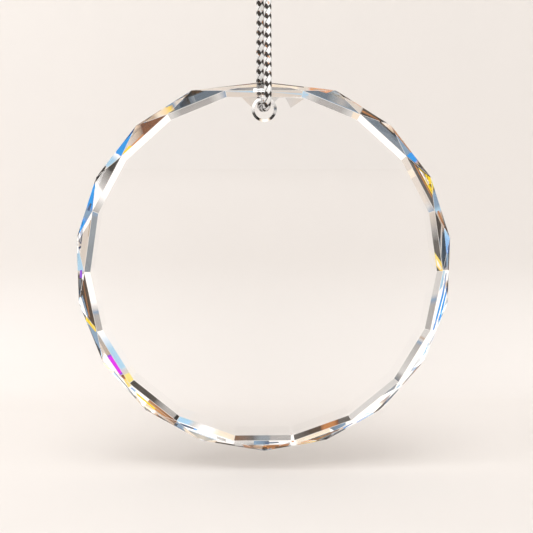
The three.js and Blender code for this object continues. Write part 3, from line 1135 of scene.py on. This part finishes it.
@dataclass
class CrystalDisc:
    """The disc: two polished tables, four rows of facets between them and one drilled hole.

    Attributes:
        bevel_depth: from the front table back to the bevels' outer corners.
        girdle_depth: from the front table back to the girdle.
        top_facet_angle: how wide the top facet is, in degrees seen from the centre.
        top_girdle_radius: to the girdle's lower corner at the top.
        hole_chamfer: how far the rounded lips reach, outwards and inwards.
        hole_below_rim: from the girdle's top corner to the hole's middle.
        lit_lip_rows: how many rows of the front lip get painted light.
        arris: how wide a sharp edge is broken.
        crisp_angle: the least angle between faces, in degrees, that shows as an edge.
        merge: the distance within which corners are one.
        same_plane: the distance within which a face lies on a facet.
        same_way: the cosine above which it looks the facet's way.
        least_area: the area below which a face is a broken corner, in square metres.
    """

    facet_count: int = FACETS
    girdle_radius: float = 40 * MM
    bevel_radius: float = 37.8 * MM
    table_radius: float = 36.4 * MM
    back_table_radius: float = 38.6 * MM
    thickness: float = 6 * MM
    bevel_depth: float = 0.7 * MM
    girdle_depth: float = 2.5 * MM
    top_facet_angle: float = 24.5
    top_girdle_radius: float = 38.8 * MM
    hole_radius: float = 1.95 * MM
    hole_chamfer: float = 0.65 * MM
    hole_below_rim: float = 5.7 * MM
    hole_height: float = -61 * MM
    hole_points: int = 96
    lip_steps: int = 6
    lit_lip_rows: int = 4
    arris: float = 0.05 * MM
    crisp_angle: float = 4.5
    merge: float = 0.001 * MM
    same_plane: float = 0.01 * MM
    same_way: float = 0.99999
    least_area: float = 0.2 * MM * MM
    finish: CrystalGlass = field(default_factory=CrystalGlass)

    @property
    def centre(self) -> Vector:
        """The disc's centre."""
        return Vector((0, 0, self.hole_height - (self.top_girdle_radius - self.hole_below_rim)))

    @property
    def facet_angles(self) -> tuple[float, float]:
        """How wide the top facet and each of the others are, in radians seen from the centre."""
        wide = math.radians(self.top_facet_angle)
        return wide, (math.tau - wide) / (self.facet_count - 1)

    def corner(self, radius: float, depth: float, step: float) -> Vector:
        """Places one corner of the cut.

        Args:
            radius: how far it is from the centre.
            depth: how far it is behind the disc's middle plane.
            step: where it is round the ring, in facets anticlockwise from the top facet's left end.

        Returns:
            The corner.
        """
        wide, narrow = self.facet_angles
        past = max(0.0, step - (self.facet_count - 1))
        angle = math.pi / 2 + wide / 2 + narrow * (step - past) + wide * past
        return self.centre + Vector((radius * math.cos(angle), depth, radius * math.sin(angle)))

    def girdle_corner(self, index: int, depth: float) -> Vector:
        """Returns one corner of the girdle, which looks halfway between the tables' corners."""
        index %= self.facet_count
        radius = self.top_girdle_radius if index == self.facet_count - 1 else self.girdle_radius
        return self.corner(radius, depth, index + 0.5)

    def facets(self) -> list[Facet]:
        """Returns every facet of the cut, each with its corners anticlockwise from outside."""
        count, front, back = self.facet_count, -self.thickness / 2, self.thickness / 2
        table = [self.corner(self.table_radius, front, i) for i in range(count)]
        bevel = [self.corner(self.bevel_radius, front + self.bevel_depth, i) for i in range(count)]
        rear = [self.corner(self.back_table_radius, back, i) for i in range(count)]
        girdle = [self.girdle_corner(i, front + self.girdle_depth) for i in range(count)]
        cut = [Facet(Zone.TABLE, 0, tuple(table)), Facet(Zone.BACK, 0, tuple(reversed(rear)))]
        for i in range(count):
            j = (i + 1) % count
            cut.append(Facet(Zone.BEVEL, i, (table[i], bevel[i], bevel[j], table[j])))
            cut.append(Facet(Zone.UPPER, i, (bevel[i], girdle[i], bevel[j])))
            cut.append(Facet(Zone.GIRDLE, j, (bevel[j], girdle[i], girdle[j])))
            cut.append(Facet(Zone.BACK_UPPER, i, (rear[i], rear[j], girdle[i])))
            cut.append(Facet(Zone.BACK_GIRDLE, j, (rear[j], girdle[j], girdle[i])))
        return cut

    def blank(self, cut: list[Facet]) -> bmesh.types.BMesh:
        """Returns the cut disc before drilling, with every sharp arris just broken."""
        work = bmesh.new()
        work.faces.layers.int.new(ZONE_LAYER)
        for facet in cut:
            work.faces.new([work.verts.new(corner) for corner in facet.corners])
        bmesh.ops.remove_doubles(work, verts=work.verts[:], dist=self.merge)
        bmesh.ops.recalc_face_normals(work, faces=work.faces[:])
        bmesh.ops.bevel(work, geom=work.edges[:], offset=self.arris, offset_type="OFFSET", segments=1,
                        profile=0.5, affect="EDGES")
        bmesh.ops.recalc_face_normals(work, faces=work.faces[:])
        work.normal_update()
        return work

    def drill(self, work: bmesh.types.BMesh) -> None:
        """Opens both tables round the hole and closes the bore between them.

        Args:
            work: the blank, whose two tables are its largest faces.
        """
        zone = work.faces.layers.int[ZONE_LAYER]
        tables = sorted(work.faces, key=lambda face: -face.calc_area())[:2]
        tables.sort(key=lambda face: face.calc_center_median().y)
        rims = [list(face.edges) for face in tables]
        bmesh.ops.delete(work, geom=tables, context="FACES_ONLY")
        rings, round_hole = [], range(self.hole_points)
        for radius, depth in self.bore_profile():
            rings.append([work.verts.new(self.hole_point(radius, depth, i)) for i in round_hole])
        for row, (low, high) in enumerate(zip(rings, rings[1:])):
            for i in round_hole:
                j = (i + 1) % self.hole_points
                wall = work.faces.new((low[i], low[j], high[j], high[i]))
                wall[zone] = Zone.LIP.value if row < self.lit_lip_rows else 0
        for table, rim, ring in zip((Zone.TABLE, Zone.BACK), rims, (rings[0], rings[-1])):
            circle = [work.edges.get((ring[i], ring[(i + 1) % self.hole_points])) for i in round_hole]
            filled = bmesh.ops.triangle_fill(work, use_beauty=True, edges=rim + circle)
            for part in filled["geom"]:
                if isinstance(part, bmesh.types.BMFace):
                    part[zone] = table.value
        bmesh.ops.recalc_face_normals(work, faces=work.faces[:])
        work.normal_update()

    def bore_profile(self) -> list[tuple[float, float]]:
        """Returns the hole's radius and depth from the front face to the back one, its lips rounded."""
        front = []
        for step in range(self.lip_steps + 1):
            turn = math.radians(90 * step / self.lip_steps)
            out, deep = self.hole_chamfer * (1 - math.sin(turn)), self.hole_chamfer * (1 - math.cos(turn))
            front.append((self.hole_radius + out, -self.thickness / 2 + deep))
        return front + [(radius, -depth) for radius, depth in reversed(front)]

    def hole_point(self, radius: float, depth: float, index: int) -> Vector:
        """Returns one point of the hole's wall."""
        turn = math.tau * index / self.hole_points
        return Vector((radius * math.cos(turn), depth, self.hole_height + radius * math.sin(turn)))

    @staticmethod
    def place_along(facet: Facet, painted_fire: Throw, point: Vector) -> float:
        """Returns where a point lies along a facet, from 0 at its clockwise end, leaning by the slant."""
        start, end, third = facet.base()
        length = (end - start).length
        along = (end - start) / length
        across = (third - start) - along * (third - start).dot(along)
        across = across / across.length
        return (point - start).dot(along) / length + painted_fire.slant * (point - start).dot(across) / length

    def on_chord(self, radius: float, place: float) -> Vector:
        """Returns a point of the straight edges between one row's corners, on the disc's middle plane."""
        index = math.floor(place)
        return self.corner(radius, 0, index).lerp(self.corner(radius, 0, index + 1), place - index)

    def ring_point(self, place: float, height: float) -> Vector:
        """Returns a point of the ring of facets, laid flat on the disc's middle plane.

        Args:
            place: where it is round the ring, in facets.
            height: -1 at the table's edge, 0 at the outer edge of the bevels and 1 at the girdle.

        Returns:
            The point.
        """
        turn = place % self.facet_count
        bevel = self.on_chord(self.bevel_radius, turn)
        if height <= 0:
            return bevel + (bevel - self.on_chord(self.table_radius, turn)) * height
        index = math.floor(turn - 0.5)
        low, high = self.girdle_corner(index, 0), self.girdle_corner(index + 1, 0)
        return bevel + (low.lerp(high, turn - 0.5 - index) - bevel) * height

    def ring_place(self, point: Vector) -> float:
        """Returns where a point lies round the ring, in facets."""
        wide, narrow = self.facet_angles
        flat = point - self.centre
        turn = (math.atan2(flat.z, flat.x) - math.pi / 2 - wide / 2) % math.tau
        past = max(0.0, turn - narrow * (self.facet_count - 1))
        return (turn - past) / narrow + past / wide

    def colour(self, work: bmesh.types.BMesh, cut: list[Facet]) -> None:
        """Parts the front facets where their painted light breaks, and writes the painted colours to their
        corners.

        Args:
            work: the drilled disc.
            cut: its facets.
        """
        layer = work.loops.layers.float_color.new(FIRE_LAYER)
        for face in work.faces:
            for loop in face.loops:
                loop[layer] = PaintedFire.CLEAR.value
        for facet in cut:
            if facet.zone in FRONT_FIRE:
                self.colour_facet(work, facet)
        for patch in SHARDS:
            self.colour_shard(work, patch)
        zone = work.faces.layers.int[ZONE_LAYER]
        for face in work.faces:
            if face[zone] == Zone.LIP.value:
                middle = face.calc_center_median()
                turn = math.atan2(middle.z - self.hole_height, middle.x) / math.tau % 1.0
                for loop in face.loops:
                    loop[layer] = LIP_FIRE.colour(turn, turn)

    def lies_on(self, face: bmesh.types.BMFace, facet: Facet) -> bool:
        """Returns whether a face is a part of a facet, and not of its broken edges and corners."""
        normal = facet.normal()
        return (abs(face.normal.dot(normal)) > self.same_way and face.calc_area() > self.least_area
                and abs((face.calc_center_median() - facet.corners[0]).dot(normal)) < self.same_plane)

    def colour_facet(self, work: bmesh.types.BMesh, facet: Facet) -> None:
        """Parts one facet along its painted colours and writes them to its corners."""
        layer = work.loops.layers.float_color[FIRE_LAYER]
        zone = work.faces.layers.int[ZONE_LAYER]
        painted_fire = FRONT_FIRE[facet.zone][facet.index]
        found = [face for face in work.faces if self.lies_on(face, facet)]
        probe = facet.corners[0]
        start = self.place_along(facet, painted_fire, probe)
        lean = Vector([self.place_along(facet, painted_fire, probe + axis * MM) - start
                       for axis in Matrix.Identity(3)]) / MM
        for place in painted_fire.places():
            on = probe + lean * ((place - start) / lean.length_squared)
            found = self.parted(work, found, on, lean)
        for face in found:
            face[zone] = facet.zone.value
            middle = self.place_along(facet, painted_fire, face.calc_center_median())
            for loop in face.loops:
                loop[layer] = painted_fire.colour(self.place_along(facet, painted_fire, loop.vert.co), middle)

    def colour_shard(self, work: bmesh.types.BMesh, patch: Shard) -> None:
        """Parts the facets under one patch of painted light along its edges and writes its colours to them.
        """
        layer = work.loops.layers.float_color[FIRE_LAYER]
        zone = work.faces.layers.int[ZONE_LAYER]
        corners = [self.ring_point(*corner) for corner in patch.outline]
        middle = sum(corners, Vector()) / len(corners)
        on_table = max(height for _, height in patch.outline) < -1
        wanted = {row.value for row in ((Zone.TABLE,) if on_table else FRONT_FIRE)}
        low = Vector([min(corner[axis] for corner in corners) for axis in range(3)])
        high = Vector([max(corner[axis] for corner in corners) for axis in range(3)])
        found = []
        for face in work.faces:
            if face[zone] not in wanted:
                continue
            across = [vert.co.x for vert in face.verts]
            along = [vert.co.z for vert in face.verts]
            if min(across) < high.x and max(across) > low.x and min(along) < high.z and max(along) > low.z:
                found.append(face)
        for first, second in zip(corners, corners[1:] + corners[:1]):
            edge = second - first
            inward = Vector((edge.z, 0, -edge.x)).normalized()
            if inward.dot(middle - first) < 0:
                inward.negate()
            found = [face for face in self.parted(work, found, first, inward)
                     if inward.dot(face.calc_center_median() - first) > 0]
        for face in found:
            for loop in face.loops:
                loop[layer] = patch.colour(self.ring_place(loop.vert.co))

    @staticmethod
    def parted(work: bmesh.types.BMesh, faces: list[bmesh.types.BMFace], on: Vector,
               normal: Vector) -> list[bmesh.types.BMFace]:
        """Cuts faces along a plane and returns all that they became.

        Args:
            work: the mesh.
            faces: the faces to cut.
            on: a point of the plane.
            normal: the plane's direction.

        Returns:
            The faces on both sides of the plane.
        """
        geometry = list({part for face in faces for part in (face, *face.edges, *face.verts)})
        cut = bmesh.ops.bisect_plane(work, geom=geometry, dist=CUT_TOLERANCE, plane_co=on, plane_no=normal)
        return [part for part in cut["geom"] if isinstance(part, bmesh.types.BMFace)]

    def build(self) -> bpy.types.Object:
        """Cuts and drills the disc, paints the light that its facets throw onto them, and lets it stand for
        its solid.
        """
        cut = self.facets()
        work = self.blank(cut)
        self.drill(work)
        self.colour(work, cut)
        mesh = bpy.data.meshes.new("cut_crystal_disc")
        work.to_mesh(mesh)
        work.free()
        disc = linked("cut_crystal_disc", mesh)
        mesh.shade_smooth()
        mesh.set_sharp_from_angle(angle=math.radians(self.crisp_angle))
        mesh.materials.append(self.finish.material())
        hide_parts("crystal_disc")
        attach(disc, BODY)
        return disc


@dataclass(frozen=True)
class Lamp:
    """One soft light, out of the camera's sight.

    Attributes:
        name: the light's name.
        place: where it hangs.
        size: its width and height.
        power: in watts.
        aim: what it looks at.
        mirrored: whether the crystal and the silver mirror it.
    """

    name: str
    place: Place
    size: tuple[float, float]
    power: float
    aim: Aim = Aim.DISC
    mirrored: bool = True

    def build(self) -> bpy.types.Object:
        """Hangs the light."""
        lamp = bpy.data.lights.new(self.name, "AREA")
        lamp.shape = "RECTANGLE"
        lamp.size, lamp.size_y = self.size
        lamp.energy = self.power
        stand = linked(self.name, lamp)
        stand.location = self.place
        stand.rotation_euler = self.aim.turned(self.place, "-Z")
        stand.visible_camera = False
        stand.visible_glossy = self.mirrored
        stand.visible_transmission = self.mirrored
        return stand


@dataclass(frozen=True)
class Card:
    """One white card that the crystal and the silver mirror, out of the camera's sight.

    Attributes:
        name: the card's name.
        place: where it stands.
        size: its width and height.
        strength: how bright it is.
        aim: what it faces.
    """

    name: str
    place: Place
    size: tuple[float, float]
    strength: float
    aim: Aim = Aim.DISC

    def build(self) -> bpy.types.Object:
        """Stands the card."""
        wide, high = self.size[0] / 2, self.size[1] / 2
        points = [(-wide, -high, 0), (wide, -high, 0), (wide, high, 0), (-wide, high, 0)]
        card = sheet_of(self.name, points, [(0, 1, 2, 3)])
        card.location = self.place
        card.rotation_euler = self.aim.turned(self.place, "Z")
        made, board, shader = new_material(self.name)
        board.feed(shader, {"Base Color": (0, 0, 0, 1), "Specular IOR Level": 0.0,
                            "Emission Color": (1, 1, 1, 1), "Emission Strength": self.strength})
        card.data.materials.append(made)
        card.visible_camera = False
        card.visible_diffuse = False
        card.visible_shadow = False
        return card


@dataclass
class Studio:
    """A pale paper sweep, soft lights and the cards that the crystal and the silver mirror.

    Attributes:
        flat: how far behind the disc the flat part ends.
        curve: the radius of the curve between the floor and the backdrop.
        front: where the paper starts, in front of the disc.
        top: how high the backdrop is above the curve.
        air: the colour of the light from all round.
        air_strength: how bright that light is.
        glass_bounces: how often light may pass through the crystal.
        mirror_bounces: how often it may be mirrored.
    """

    floor_height: float = -138.1 * MM
    flat: float = 0.062
    curve: float = 0.035
    curve_rows: int = 32
    half_width: float = 3.0
    front: float = -2.0
    top: float = 0.95
    paper: StudioPaper = field(default_factory=StudioPaper)
    cards: tuple[Card, ...] = (
        Card("white_card_left", (-0.8, -0.7, 0.35), (0.7, 0.9), 1.5),
        Card("white_card_right", (0.8, -0.7, 0.35), (0.5, 0.9), 2.6),
    )
    lamps: tuple[Lamp, ...] = (
        Lamp("key", (-0.05, -0.45, 1.1), (0.8, 0.8), 6.0, Aim.BACKDROP, mirrored=False),
        Lamp("wash", (-0.16, -0.06, 0.06), (0.06, 0.06), 0.08, Aim.BACKDROP, mirrored=False),
        Lamp("fill", (0.9, -0.5, 0.9), (0.9, 0.9), 1.4),
        Lamp("front", (0.0, -1.5, 0.7), (1.4, 0.7), 5.4),
    )
    air: Colour = (1.0, 0.98, 0.96)
    air_strength: float = 0.67
    glass_bounces: int = 24
    mirror_bounces: int = 16

    def sweep(self) -> bpy.types.Object:
        """Lays the paper: a flat floor that runs up into the backdrop in one curve."""
        profile = [(self.front, self.floor_height), (self.flat, self.floor_height)]
        for row in range(1, self.curve_rows + 1):
            turn = math.pi / 2 * row / self.curve_rows
            profile.append((self.flat + self.curve * math.sin(turn),
                            self.floor_height + self.curve * (1 - math.cos(turn))))
        profile.append((self.flat + self.curve, self.floor_height + self.curve + self.top))
        points = [(x, y, z) for y, z in profile for x in (-self.half_width, self.half_width)]
        faces = [(2 * row, 2 * row + 1, 2 * row + 3, 2 * row + 2) for row in range(len(profile) - 1)]
        paper = sheet_of("paper_sweep", points, faces)
        paper.data.shade_smooth()
        paper.data.materials.append(self.paper.material())
        return paper

    def build(self) -> None:
        """Lays the paper, stands the cards, hangs the lights and fills the room with pale light."""
        self.sweep()
        [card.build() for card in self.cards]
        for lamp in self.lamps:
            lamp.build()
        scene = bpy.context.scene
        scene.world = bpy.data.worlds.new("pale_room")
        scene.world.use_nodes = True
        tree = scene.world.node_tree
        Board(tree).feed(tree.nodes["Background"], {"Color": (*self.air, 1), "Strength": self.air_strength})
        scene.view_settings.view_transform = "Standard"
        scene.cycles.use_denoising = True
        scene.cycles.max_bounces = self.glass_bounces
        scene.cycles.transmission_bounces = self.glass_bounces
        scene.cycles.glossy_bounces = self.mirror_bounces


def main() -> None:
    """Builds the camera, the cord, the disc and the studio."""
    disc = CrystalDisc()
    Portrait().build(disc.centre)
    cord = HangingCord()
    strands, core = cord.build()
    knot = GatheringKnot().build()
    pieces = [strands, core, knot, disc.build()]
    Studio().build()
    for piece in pieces:
        report(piece)


if __name__ == "__main__":
    logging.basicConfig(level=logging.INFO, format="%(name)s: %(message)s")
    main()
